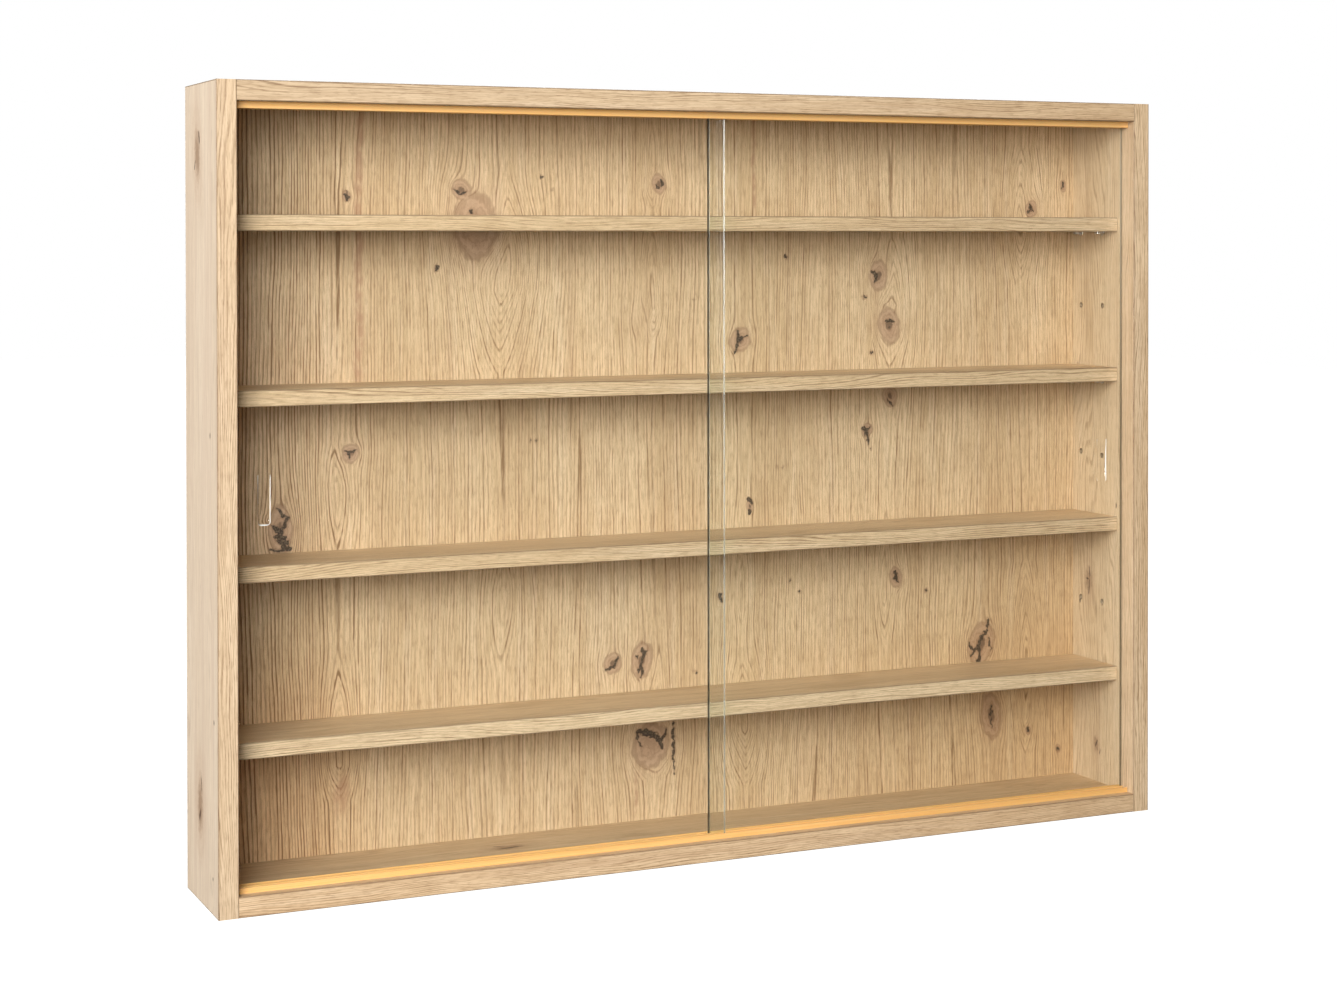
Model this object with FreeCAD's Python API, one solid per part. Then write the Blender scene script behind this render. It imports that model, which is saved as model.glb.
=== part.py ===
import FreeCAD, Part
import os

# Wall mounted showcase: a shallow cabinet of decor-faced boards with four loose
# shelves behind two sliding glass doors.
#
# Millimetres, +Z up, +X to the right seen from the front, +Y into the wall.
# Y = 0 is the wall plane (rear edges of the cabinet), the front is at Y = -DEPTH.
# The origin lies on the wall plane, midway between the entry holes of the two
# keyhole hanger plates.

os.makedirs("parts", exist_ok=True)
V = FreeCAD.Vector

# ---------------------------------------------------------------- driving sizes
WIDTH = 800.0            # outside
HEIGHT = 600.0           # outside
DEPTH = 96.0             # outside
BOARD = 15.0             # carcass board thickness
SHELF_T = 12.0           # shelf board thickness
BAND = 0.8               # edging strip thickness
BAND_R = 0.5             # rounding of the edging's outer corners

BACK_T = 3.0             # back panel thickness
BACK_INSET = 1.0         # rear face of the back panel in front of the wall plane
REBATE_W = 8.0           # width of the rebate that takes the back panel
BACK_GAP = 0.3           # play of the back panel in its rebate

HANG_DROP = 42.0         # keyhole entry holes below the top of the cabinet
PLATE_W = 12.5           # hanger plate width
PLATE_H = 50.0
PLATE_T = 1.0
PLATE_TOP = 10.0         # plate's top edge below the top of the cabinet
KEY_R = 4.75             # keyhole entry radius
SLOT_R = 2.5             # keyhole slot half width
SLOT_RISE = 13.0         # slot end above the entry hole
POCKET_R = 5.5           # room for the wall screw's head behind the plate
POCKET_D = 8.0

SHELF_FRONT = 25.5       # shelf front set back from the cabinet's front
SHELF_END_GAP = 0.5      # play at each end of a shelf
SHELF_REAR_GAP = 0.5
PIN_COLS = (48.0, 80.0)  # shelf support columns, behind the cabinet's front
PIN_PITCH = 64.0         # rows of holes, centred on the cabinet's mid height
PIN_ROWS = 3             # rows above and below the middle row
SHELF_ROWS = (3, 1, -1, -3)   # rows that carry shelf_1 (top) to shelf_4
PIN_R = 2.45
PIN_HOLE_R = 2.5
PIN_HOLE_D = 8.5
TAB_L = 7.0              # support tab under the shelf
TAB_W = 5.6
TAB_T = 2.0

TRACK_FRONT = 8.5        # front of the glass tracks behind the cabinet's front
TRACK_WALL = 1.5
TRACK_GROOVE = 5.0
TRACK_BASE = 1.0
TRACK_LOW_H = 4.0        # bottom track height on the bottom panel
TRACK_UP_DROP = 5.0      # top track below the top panel
TRACK_UP_SUNK = 3.9      # top track let into the top panel
CHANNEL_D = 4.0          # channel in the top panel
RIB_W, RIB_D = 1.8, 5.0  # rib that holds the bottom track in its saw cut
TRACK_END_GAP = 0.3

GLASS_T = 4.0
GLASS_W = 390.0
GLASS_FLOAT = 0.1        # glass above the groove bottom
GLASS_TOP_IN = 3.6       # glass held in the top track's grooves
LEFT_STOP_GAP = 1.2      # left door's outer edge from the side panel, as it stands
RIGHT_STOP_GAP = 0.3
PULL_W = 9.5             # ground finger recess
PULL_H = 38.0
PULL_D = 2.1
PULL_INSET = 15.8        # from the door's outer upright edge
PULL_Z = 298.0           # recess centre above the cabinet's underside

DOWEL_R = 3.95
DOWEL_HOLE_R = 4.0
DOWEL_L = 30.0
DOWEL_Y = (34.0, 82.0)   # behind the cabinet's front
CAM_Y = 58.0
CAM_R = 7.4
CAM_HOLE_R = 7.5
CAM_H = 12.3
CAM_IN = 34.0            # cam centre from the board's end

NAIL_R = 0.6
NAIL_L = 17.0
NAIL_HEAD_R = 1.5
NAIL_HEAD_T = 0.4

# ---------------------------------------------------------------- helpers
# Everything below is laid out from the cabinet's front lower left corner
# (x to the right, y from the front to the wall, z up) and moved at the end.
SHIFT = V(-WIDTH / 2, -DEPTH, -(HEIGHT - HANG_DROP))
MID = V(WIDTH / 2, 0, 0)


def box(x0, x1, y0, y1, z0, z1):
    return Part.makeBox(x1 - x0, y1 - y0, z1 - z0, V(x0, y0, z0))


def cyl(r, length, pos, direction):
    return Part.makeCylinder(r, length, pos, direction)


def mirrored(shape):
    """The same piece on the other side of the cabinet."""
    return shape.mirror(MID, V(1, 0, 0))


def flipped(shape):
    """The same piece at the other end of the height."""
    return shape.mirror(V(0, 0, HEIGHT / 2), V(0, 0, 1))


def upside(shape):
    return shape.mirror(V(0, 0, HEIGHT / 2), V(0, 0, 1))


def cut(shape, tools):
    tools = [t for t in tools if t is not None]
    return shape.cut(Part.makeCompound(tools)) if tools else shape


def prism_x(points, x0, x1):
    """A closed outline of (y, z) points drawn along X."""
    wire = Part.makePolygon([V(x0, y, z) for y, z in points + points[:1]])
    return Part.Face(wire).extrude(V(x1 - x0, 0, 0))


def fillet_where(solid, radius, test):
    edges = [e for e in solid.Edges if test(e)]
    return solid.makeFillet(radius, edges) if edges else solid


def on(e, axis, value):
    b = e.BoundBox
    lo, hi = {"x": (b.XMin, b.XMax), "y": (b.YMin, b.YMax), "z": (b.ZMin, b.ZMax)}[axis]
    return abs(lo - value) < 1e-4 and abs(hi - value) < 1e-4


def along(e, axis):
    b = e.BoundBox
    return {"x": b.XLength, "y": b.YLength, "z": b.ZLength}[axis] > 0.99 * e.Length


def write(name, solids):
    if not isinstance(solids, (list, tuple)):
        solids = [solids]
    flat = []
    for s in solids:
        s = s.copy()
        s.translate(SHIFT)
        flat += s.Solids
    shape = flat[0] if len(flat) == 1 else Part.makeCompound(flat)
    bad = [s for s in flat if not s.isValid()]
    shape.exportStep("parts/%s.step" % name)
    b = shape.BoundBox
    print("%-20s solids %2d  invalid %d  X %8.2f %8.2f  Y %7.2f %7.2f  Z %8.2f %8.2f  vol %.1f"
          % (name, len(flat), len(bad), b.XMin, b.XMax, b.YMin, b.YMax, b.ZMin, b.ZMax, shape.Volume))


# ---------------------------------------------------------------- derived levels
IN_L, IN_R = BOARD, WIDTH - BOARD              # inner faces of the side panels
FLOOR, CEIL = BOARD, HEIGHT - BOARD            # inner faces of bottom and top
BACK_REAR = DEPTH - BACK_INSET
BACK_FACE = BACK_REAR - BACK_T                 # visible face of the back panel
ROW_Z = [HEIGHT / 2 + PIN_PITCH * k for k in range(-PIN_ROWS, PIN_ROWS + 1)]
SHELF_Z = [HEIGHT / 2 + PIN_PITCH * k for k in SHELF_ROWS]   # shelf undersides
KEY_Z = HEIGHT - HANG_DROP
KEY_X = 1.5 + PLATE_W / 2

# ---------------------------------------------------------------- fastener shapes
def nail(x, z, grow=0.0):
    if grow:
        return cyl(NAIL_R + grow, NAIL_L + 1.7, V(x, BACK_REAR, z), V(0, -1, 0))
    shank = cyl(NAIL_R, NAIL_L, V(x, BACK_REAR, z), V(0, -1, 0))
    tip = Part.makeCone(NAIL_R, 0.1, 1.5, V(x, BACK_REAR - NAIL_L, z), V(0, -1, 0))
    head = cyl(NAIL_HEAD_R, NAIL_HEAD_T, V(x, BACK_REAR, z), V(0, 1, 0))
    head = fillet_where(head, 0.18, lambda e: on(e, "y", BACK_REAR + NAIL_HEAD_T))
    return shank.fuse([tip, head]).removeSplitter()


NAIL_SIDE_Z = (40.0, 140.0, 268.0, 396.0, 516.0)
NAIL_X = (70.0, 180.0, 290.0, 400.0, 510.0, 620.0, 730.0)
NAILS = ([(BOARD - REBATE_W / 2, z) for z in NAIL_SIDE_Z]
         + [(WIDTH - BOARD + REBATE_W / 2, z) for z in NAIL_SIDE_Z]
         + [(x, BOARD - REBATE_W / 2) for x in NAIL_X]
         + [(x, HEIGHT - BOARD + REBATE_W / 2) for x in NAIL_X])


def plate_screw(x, z, grow=0.0):
    """Countersunk 3 x 16 wood screw, head flush with the wall plane."""
    g = grow
    shank = cyl(1.35 + g, 13.0, V(x, DEPTH - 1.0, z), V(0, -1, 0))
    tip = Part.makeCone(1.35 + g, 0.15 + g, 2.0 + g, V(x, DEPTH - 14.0, z), V(0, -1, 0))
    head = Part.makeCone(2.8 + g, 1.35 + g, 1.45, V(x, DEPTH, z), V(0, -1, 0))
    s = shank.fuse([tip, head]).removeSplitter()
    if not g:
        for a, b in ((2.6, 0.5), (0.5, 2.6)):
            s = s.cut(box(x - a / 2, x + a / 2, DEPTH - 0.8, DEPTH + 0.1, z - b / 2, z + b / 2))
    return s


PLATE_SCREW_Z = (HEIGHT - PLATE_TOP - PLATE_H + 5.0, HEIGHT - PLATE_TOP - 5.0)


def keyhole(r_in, r_slot, y0, y1):
    """Entry hole with a slot that rises from it."""
    entry = cyl(r_in, y1 - y0, V(KEY_X, y0, KEY_Z), V(0, 1, 0))
    slot = box(KEY_X - r_slot, KEY_X + r_slot, y0, y1, KEY_Z, KEY_Z + SLOT_RISE)
    end = cyl(r_slot, y1 - y0, V(KEY_X, y0, KEY_Z + SLOT_RISE), V(0, 1, 0))
    return entry.fuse([slot, end]).removeSplitter()


def dowel(y, grow=False):
    """Left lower dowel; the hole is the same shape without the chamfers."""
    z = BOARD / 2
    if grow:
        return cyl(DOWEL_HOLE_R, 11.0, V(BOARD - 11.0, y, z), V(1, 0, 0)), \
               cyl(DOWEL_HOLE_R, 20.0, V(BOARD, y, z), V(1, 0, 0))
    d = cyl(DOWEL_R, DOWEL_L, V(BOARD - 10.6, y, z), V(1, 0, 0))
    d = d.makeChamfer(0.9, [e for e in d.Edges if on(e, "x", BOARD - 10.6) or on(e, "x", BOARD - 10.6 + DOWEL_L)])
    # shallow glue flutes
    flutes = []
    for k in range(8):
        f = box(BOARD - 11, BOARD + 21, y - 0.3, y + 0.3, z + DOWEL_R - 0.35, z + DOWEL_R + 1)
        f.rotate(V(0, y, z), V(1, 0, 0), 45.0 * k + 22.5)
        flutes.append(f)
    return cut(d, flutes)


def cam_bolt():
    """Left lower connecting bolt: thread in the side panel, ball head in the cam."""
    y, z = CAM_Y, BOARD / 2
    prof = [(4.2, 0), (4.2, 1.6), (5.4, 2.45), (15.02, 2.45), (15.02, 3.3), (16.6, 3.3), (16.6, 2.6),
            (42.0, 2.6), (42.6, 1.6), (46.2, 1.6), (46.9, 2.5), (49.3, 2.5), (50.0, 1.6), (50.0, 0)]
    w = Part.makePolygon([V(x, y, z + r) for x, r in prof] + [V(prof[0][0], y, z)])
    s = Part.Face(w).revolve(V(0, y, z), V(1, 0, 0), 360)
    ridges = [Part.makeTorus(2.5, 0.35, V(6.4 + 1.5 * k, y, z), V(1, 0, 0)) for k in range(6)]
    return cut(s, ridges)


def cam_lock():
    """Left lower cam: its face is flush with the board's outer face."""
    cx, y = BOARD + CAM_IN, CAM_Y
    c = cyl(CAM_R, CAM_H, V(cx, y, 0.1), V(0, 0, 1))
    c = c.makeChamfer(0.4, [e for e in c.Edges if on(e, "z", 0.1)])
    way = cyl(3.1, 14.0, V(cx - 12.0, y, BOARD / 2), V(1, 0, 0))
    arc = cyl(5.0, 6.2, V(cx, y, BOARD / 2 - 3.1), V(0, 0, 1)).cut(box(cx + 1.2, cx + 9, y - 9, y + 9, 0, BOARD))
    cross = [box(cx - 3.4, cx + 3.4, y - 0.6, y + 0.6, 0, 1.9), box(cx - 0.6, cx + 0.6, y - 3.4, y + 3.4, 0, 1.9)]
    mark = prism_mark(cx, y)
    return cut(c, [way, arc] + cross + [mark])


def prism_mark(cx, y):
    """Small arrow at the cam's rim that shows the open position."""
    w = Part.makePolygon([V(cx - 6.3, y, 0), V(cx - 4.7, y - 1.0, 0), V(cx - 4.7, y + 1.0, 0), V(cx - 6.3, y, 0)])
    return Part.Face(w).extrude(V(0, 0, 0.5))


def support(col, z):
    """Shelf support in the left side panel: round shank, collar and flat tab."""
    x = IN_L
    shank = cyl(PIN_R, PIN_HOLE_D - 0.5, V(x, col, z), V(-1, 0, 0))
    shank = shank.makeChamfer(0.5, [e for e in shank.Edges if on(e, "x", x - PIN_HOLE_D + 0.5)])
    below = box(x - 0.1, x + 1.2, col - 3.4, col + 3.4, z - 3.4, z - 0.05)
    collar = cyl(3.2, 0.8, V(x, col, z), V(1, 0, 0)).common(below)
    tab = box(x, x + TAB_L, col - TAB_W / 2, col + TAB_W / 2, z - TAB_T - 0.05, z - 0.05)
    tab = fillet_where(tab, 1.8, lambda e: along(e, "z") and on(e, "x", x + TAB_L))
    tab = fillet_where(tab, 0.45, lambda e: on(e, "z", z - TAB_T - 0.05) and not on(e, "x", x))
    return shank.fuse([collar, tab]).removeSplitter()


# ---------------------------------------------------------------- bottom and top panel
lower_dowels = [dowel(y) for y in DOWEL_Y]
hole_pairs = [dowel(y, True) for y in DOWEL_Y]
side_dowel_holes = [a for a, b in hole_pairs]
end_dowel_holes = [b for a, b in hole_pairs]
side_bolt_hole = cyl(2.5, 11.0, V(BOARD - 11.0, CAM_Y, BOARD / 2), V(1, 0, 0))
end_bolt_hole = cyl(3.5, CAM_IN, V(BOARD, CAM_Y, BOARD / 2), V(1, 0, 0))
cam_hole = cyl(CAM_HOLE_R, CAM_H + 0.2, V(BOARD + CAM_IN, CAM_Y, 0), V(0, 0, 1))
end_holes = end_dowel_holes + [end_bolt_hole, cam_hole]
end_holes = end_holes + [mirrored(h) for h in end_holes]

rebate = box(IN_L, IN_R, BACK_FACE, DEPTH, FLOOR - REBATE_W, FLOOR)
plain = box(IN_L, IN_R, BAND, DEPTH, 0, BOARD)
rib_y = TRACK_FRONT + 1.5 * TRACK_WALL + TRACK_GROOVE
kerf = box(IN_L, IN_R, rib_y - RIB_W / 2 - 0.1, rib_y + RIB_W / 2 + 0.1, FLOOR - RIB_D - 0.3, FLOOR)
nail_cuts_low = [nail(x, z, 0.05) for x, z in NAILS if z < BOARD]
bottom_panel = cut(plain, end_holes + [rebate, kerf] + nail_cuts_low)
write("bottom_panel", bottom_panel)

TRACK_DEPTH = 3 * TRACK_WALL + 2 * TRACK_GROOVE
channel = box(IN_L, IN_R, TRACK_FRONT - 0.1, TRACK_FRONT + TRACK_DEPTH + 0.1, CEIL, CEIL + CHANNEL_D)
nail_cuts_up = [nail(x, z, 0.05) for x, z in NAILS if z > HEIGHT - BOARD]
top_panel = cut(upside(plain), [upside(h) for h in end_holes] + [upside(rebate), channel] + nail_cuts_up)
write("top_panel", top_panel)

# ---------------------------------------------------------------- side panels
side = box(0, BOARD, BAND, DEPTH, BAND, HEIGHT - BAND)
side_rebate = box(BOARD - REBATE_W, BOARD, BACK_FACE, DEPTH, FLOOR - REBATE_W, CEIL + REBATE_W)
pin_holes = [cyl(PIN_HOLE_R, PIN_HOLE_D, V(IN_L, c, z), V(-1, 0, 0)) for c in PIN_COLS for z in ROW_Z]
joint_holes = side_dowel_holes + [side_bolt_hole]
joint_holes = joint_holes + [upside(h) for h in joint_holes]
plate_seat = box(1.5, BOARD, DEPTH - PLATE_T, DEPTH, HEIGHT - PLATE_TOP - PLATE_H, HEIGHT - PLATE_TOP)
pocket = keyhole(POCKET_R, POCKET_R, DEPTH - POCKET_D, DEPTH)
plate_screw_cuts = [plate_screw(KEY_X, z, 0.05) for z in PLATE_SCREW_Z]
side_nail_cuts = [nail(x, z, 0.05) for x, z in NAILS if x < BOARD]
left_side = cut(side, [side_rebate, plate_seat, pocket] + pin_holes + joint_holes + plate_screw_cuts + side_nail_cuts)
write("left_side_panel", left_side)
write("right_side_panel", mirrored(left_side))

# ---------------------------------------------------------------- edging strips
def front_band(x0, x1, z0, z1, y0=0.0):
    """Thin strip on a board's front edge, its two long outer corners rounded."""
    b = box(x0, x1, y0, y0 + BAND, z0, z1)
    length = "z" if (z1 - z0) > (x1 - x0) else "x"
    return fillet_where(b, BAND_R, lambda e: on(e, "y", y0) and along(e, length))


side_front = front_band(0, BOARD, 0, HEIGHT)
side_top = box(0, BOARD, BAND, DEPTH, HEIGHT - BAND, HEIGHT)
side_top = fillet_where(side_top, BAND_R, lambda e: on(e, "z", HEIGHT) and on(e, "x", 0.0))
left_bands = [side_front, side_top, upside(side_top)]
write("left_side_edging", left_bands)
write("right_side_edging", [mirrored(b) for b in left_bands])
bottom_band = front_band(IN_L, IN_R, 0, BOARD)
write("bottom_edging", bottom_band)
write("top_edging", upside(bottom_band))

# ---------------------------------------------------------------- back panel
bx = BOARD - REBATE_W + BACK_GAP
back = box(bx, WIDTH - bx, BACK_FACE, BACK_REAR, bx, HEIGHT - bx)
pocket_cut = keyhole(POCKET_R + 0.1, POCKET_R + 0.1, BACK_FACE - 1, BACK_REAR + 1)
back_cuts = [pocket_cut, mirrored(pocket_cut)] + plate_screw_cuts + [mirrored(s) for s in plate_screw_cuts]
back_cuts += [nail(x, z, 0.05) for x, z in NAILS]
write("back_panel", cut(back, back_cuts))
write("back_panel_nails", [nail(x, z) for x, z in NAILS])

# ---------------------------------------------------------------- shelves, their edging and supports
for n, z in enumerate(SHELF_Z, 1):
    x0, x1 = IN_L + SHELF_END_GAP, IN_R - SHELF_END_GAP
    write("shelf_%d" % n, box(x0, x1, SHELF_FRONT + BAND, BACK_FACE - SHELF_REAR_GAP, z, z + SHELF_T))
    write("shelf_%d_edging" % n, front_band(x0, x1, z, z + SHELF_T, SHELF_FRONT))
    left = [support(c, z) for c in PIN_COLS]
    write("shelf_%d_supports" % n, left + [mirrored(s) for s in left])

# ---------------------------------------------------------------- glass tracks
def comb(y0, base_z, tip_z, rib=None):
    """Outline of a double groove track: a base with three walls."""
    w, g = TRACK_WALL, TRACK_GROOVE
    up = 1 if tip_z > base_z else -1
    floor = base_z + up * TRACK_BASE
    pts = [(y0, base_z), (y0, tip_z), (y0 + w, tip_z), (y0 + w, floor),
           (y0 + w + g, floor), (y0 + w + g, tip_z), (y0 + 2 * w + g, tip_z), (y0 + 2 * w + g, floor),
           (y0 + 2 * w + 2 * g, floor), (y0 + 2 * w + 2 * g, tip_z), (y0 + 3 * w + 2 * g, tip_z), (y0 + 3 * w + 2 * g, base_z)]
    if rib:
        c = y0 + 1.5 * w + g
        pts += [(c + rib[0] / 2, base_z), (c + rib[0] / 2, base_z - rib[1]), (c - rib[0] / 2, base_z - rib[1]), (c - rib[0] / 2, base_z)]
    return pts


tx0, tx1 = IN_L + TRACK_END_GAP, IN_R - TRACK_END_GAP
low_tip = FLOOR + TRACK_LOW_H
low = prism_x(comb(TRACK_FRONT, FLOOR, low_tip, (RIB_W, RIB_D)), tx0, tx1)
low = fillet_where(low, 0.45, lambda e: along(e, "x") and on(e, "z", low_tip))
write("bottom_track", low)
up_tip = CEIL - TRACK_UP_DROP
upper = prism_x(comb(TRACK_FRONT, CEIL + TRACK_UP_SUNK, up_tip), tx0, tx1)
upper = fillet_where(upper, 0.45, lambda e: along(e, "x") and on(e, "z", up_tip))
write("top_track", upper)

# ---------------------------------------------------------------- sliding glass doors
GLASS_Z0 = FLOOR + TRACK_BASE + GLASS_FLOAT
GLASS_Z1 = up_tip + GLASS_TOP_IN


def door(x0, groove, pull_x):
    """A pane with ground edges and a finger recess ground into its front face."""
    y0 = TRACK_FRONT + TRACK_WALL + groove * (TRACK_WALL + TRACK_GROOVE) + (TRACK_GROOVE - GLASS_T) / 2
    pane = box(x0, x0 + GLASS_W, y0, y0 + GLASS_T, GLASS_Z0, GLASS_Z1)
    pane = pane.makeChamfer(0.4, [e for e in pane.Edges if not along(e, "y")])
    # depth of the recess down its height: it runs out gently at the top and short at the foot
    prof = [(0.0, 0.5), (0.42, 0.36), (0.80, 0.21), (1.28, 0.03), (1.75, -0.16), (2.05, -0.30), (1.85, -0.385), (1.05, -0.455), (0.0, -0.5)]
    pts = [V(pull_x - 5, y0 + d * PULL_D / 2.05, PULL_Z + f * PULL_H) for d, f in prof]
    curve = Part.BSplineCurve()
    curve.interpolate(pts)
    front = Part.makePolygon([pts[-1], pts[-1] + V(0, -2, 0), pts[0] + V(0, -2, 0), pts[0]])
    scoop = Part.Face(Part.Wire([curve.toShape()] + front.Edges)).extrude(V(PULL_W + 10, 0, 0))
    outline = box(pull_x, pull_x + PULL_W, y0 - 1, y0 + PULL_D + 1, PULL_Z - PULL_H / 2 - 1, PULL_Z + PULL_H / 2 + 1)
    return pane.cut(scoop.common(outline))


LEFT_X = IN_L + LEFT_STOP_GAP
RIGHT_X = IN_R - RIGHT_STOP_GAP - GLASS_W
write("left_glass_door", door(LEFT_X, 0, LEFT_X + PULL_INSET))
write("right_glass_door", door(RIGHT_X, 1, RIGHT_X + GLASS_W - PULL_INSET - PULL_W))
print("left door travel  %.2f to %.2f" % (-(LEFT_STOP_GAP - 0.3), IN_R - 0.3 - LEFT_X - GLASS_W))
print("right door travel %.2f to %.2f" % (-(RIGHT_X - IN_L - 0.3), 0.0))

# ---------------------------------------------------------------- carcass fasteners
quarter = lower_dowels
half = quarter + [mirrored(s) for s in quarter]
write("wooden_dowels", half + [upside(s) for s in half])
bolts = [cam_bolt()]
bolts += [mirrored(s) for s in bolts]
write("cam_bolts", bolts + [upside(s) for s in bolts])
cams = [cam_lock()]
cams += [mirrored(s) for s in cams]
write("cam_locks", cams + [upside(s) for s in cams])

# ---------------------------------------------------------------- hanger plates
plate = box(1.5, 1.5 + PLATE_W, DEPTH - PLATE_T, DEPTH, HEIGHT - PLATE_TOP - PLATE_H, HEIGHT - PLATE_TOP)
plate = fillet_where(plate, 3.0, lambda e: along(e, "y"))
plate = cut(plate, [keyhole(KEY_R, SLOT_R, DEPTH - 3, DEPTH + 1)] + plate_screw_cuts)
write("left_hanger_plate", plate)
write("right_hanger_plate", mirrored(plate))
screws = [plate_screw(KEY_X, z) for z in PLATE_SCREW_Z]
write("hanger_screws", screws + [mirrored(s) for s in screws])
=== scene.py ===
import math

import bmesh
import bpy
import numpy as np
from mathutils import Matrix, Vector
from mathutils import noise as mn


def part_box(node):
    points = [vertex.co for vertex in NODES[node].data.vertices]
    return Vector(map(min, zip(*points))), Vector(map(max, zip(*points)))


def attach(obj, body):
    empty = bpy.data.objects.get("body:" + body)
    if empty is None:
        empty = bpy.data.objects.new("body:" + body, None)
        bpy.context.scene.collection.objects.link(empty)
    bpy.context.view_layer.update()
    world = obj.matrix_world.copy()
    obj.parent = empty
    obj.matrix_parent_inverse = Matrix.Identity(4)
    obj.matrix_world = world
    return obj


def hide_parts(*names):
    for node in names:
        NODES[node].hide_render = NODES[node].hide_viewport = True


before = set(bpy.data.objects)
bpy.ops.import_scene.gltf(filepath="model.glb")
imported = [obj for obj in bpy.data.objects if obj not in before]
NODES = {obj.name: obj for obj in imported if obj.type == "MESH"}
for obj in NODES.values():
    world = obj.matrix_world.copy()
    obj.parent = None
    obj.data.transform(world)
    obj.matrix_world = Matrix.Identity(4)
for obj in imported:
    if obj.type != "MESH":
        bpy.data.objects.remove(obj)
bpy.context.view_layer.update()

MM = 0.001


# ============================================================ node helpers
class Tree:
    """Short names for building a material's node tree."""

    def __init__(self, name):
        self.mat = bpy.data.materials.new(name)
        self.mat.use_nodes = True
        self.nt = self.mat.node_tree
        self.nt.nodes.clear()
        self.out = self.nt.nodes.new("ShaderNodeOutputMaterial")
        self.coord = None

    def new(self, kind, **props):
        n = self.nt.nodes.new(kind)
        for k, v in props.items():
            setattr(n, k, v)
        return n

    def put(self, socket, value):
        if isinstance(value, bpy.types.NodeSocket):
            self.nt.links.new(value, socket)
        elif value is not None:
            if hasattr(socket.default_value, "__len__") and not hasattr(value, "__len__"):
                value = [value] * len(socket.default_value)
            if hasattr(value, "__len__") and len(socket.default_value) == 4 and len(value) == 3:
                value = (*value, 1.0)
            socket.default_value = value

    def math(self, op, a, b=None, c=None, clamp=False):
        n = self.new("ShaderNodeMath", operation=op, use_clamp=clamp)
        for s, v in zip(n.inputs, (a, b, c)):
            self.put(s, v)
        return n.outputs[0]

    def add(self, a, b): return self.math("ADD", a, b)
    def sub(self, a, b): return self.math("SUBTRACT", a, b)
    def mul(self, a, b): return self.math("MULTIPLY", a, b)
    def mad(self, a, b, c): return self.math("MULTIPLY_ADD", a, b, c)
    def power(self, a, b): return self.math("POWER", a, b)

    def step(self, x, lo, hi, a=0.0, b=1.0, smooth=True):
        """x from lo..hi to a..b, clamped."""
        n = self.new("ShaderNodeMapRange", interpolation_type="SMOOTHSTEP" if smooth else "LINEAR")
        for s, v in zip(n.inputs, (x, lo, hi, a, b)):
            self.put(s, v)
        return n.outputs[0]

    def xyz(self):
        """Object coordinates in millimetres, apart."""
        if self.coord is None:
            tc = self.new("ShaderNodeTexCoord")
            sep = self.new("ShaderNodeSeparateXYZ")
            self.nt.links.new(tc.outputs["Object"], sep.inputs[0])
            self.coord = [self.mul(sep.outputs[i], 1000.0) for i in range(3)]
        return self.coord

    def join(self, x, y, z=0.0):
        n = self.new("ShaderNodeCombineXYZ")
        for s, v in zip(n.inputs, (x, y, z)):
            self.put(s, v)
        return n.outputs[0]

    def noise(self, vec, scale=1.0, detail=2.0, rough=0.5, dist=0.0, dims="2D"):
        n = self.new("ShaderNodeTexNoise", noise_dimensions=dims)
        self.put(n.inputs["Vector"], vec)
        n.inputs["Scale"].default_value = scale
        n.inputs["Detail"].default_value = detail
        n.inputs["Roughness"].default_value = rough
        n.inputs["Distortion"].default_value = dist
        return n.outputs["Fac"]

    def mix(self, f, a, b, mode="MIX"):
        n = self.new("ShaderNodeMix", data_type="RGBA", blend_type=mode, clamp_factor=True)
        self.put(n.inputs[0], f)
        self.put(n.inputs[6], a)
        self.put(n.inputs[7], b)
        return n.outputs[2]

    def ramp(self, fac, stops, mode="LINEAR"):
        n = self.new("ShaderNodeValToRGB")
        n.color_ramp.interpolation = mode
        els = n.color_ramp.elements
        while len(els) > 1:
            els.remove(els[-1])
        els[0].position, els[0].color = stops[0][0], (*stops[0][1], 1.0)
        for p, c in stops[1:]:
            e = els.new(p)
            e.color = (*c, 1.0)
        self.put(n.inputs[0], fac)
        return n.outputs[0]

    def attribute(self, name):
        n = self.new("ShaderNodeAttribute", attribute_name=name)
        return n.outputs["Fac"]

    def bump(self, height, distance_mm, strength=1.0):
        n = self.new("ShaderNodeBump")
        n.inputs["Strength"].default_value = strength
        n.inputs["Distance"].default_value = distance_mm * MM
        self.put(n.inputs["Height"], height)
        return n.outputs[0]

    def surface(self, color, rough, normal=None, **fixed):
        p = self.new("ShaderNodeBsdfPrincipled")
        self.put(p.inputs["Base Color"], color)
        self.put(p.inputs["Roughness"], rough)
        if normal is not None:
            self.put(p.inputs["Normal"], normal)
        for k, v in fixed.items():
            self.put(p.inputs[k.replace("_", " ")], v)
        self.nt.links.new(p.outputs[0], self.out.inputs[0])
        return p


def assign(names, mat):
    for n in names:
        o = NODES[n]
        o.data.materials.clear()
        o.data.materials.append(mat)


# ============================================================ oak decor
LIGHT = (0.740, 0.555, 0.350)
MID = (0.650, 0.468, 0.280)
DEEP = (0.440, 0.290, 0.152)
LINE = (0.240, 0.135, 0.062)
PINK = (0.455, 0.285, 0.180)
KNOT = (0.255, 0.145, 0.080)
BLACK = (0.030, 0.019, 0.013)
RAW = (0.430, 0.300, 0.175)


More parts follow.
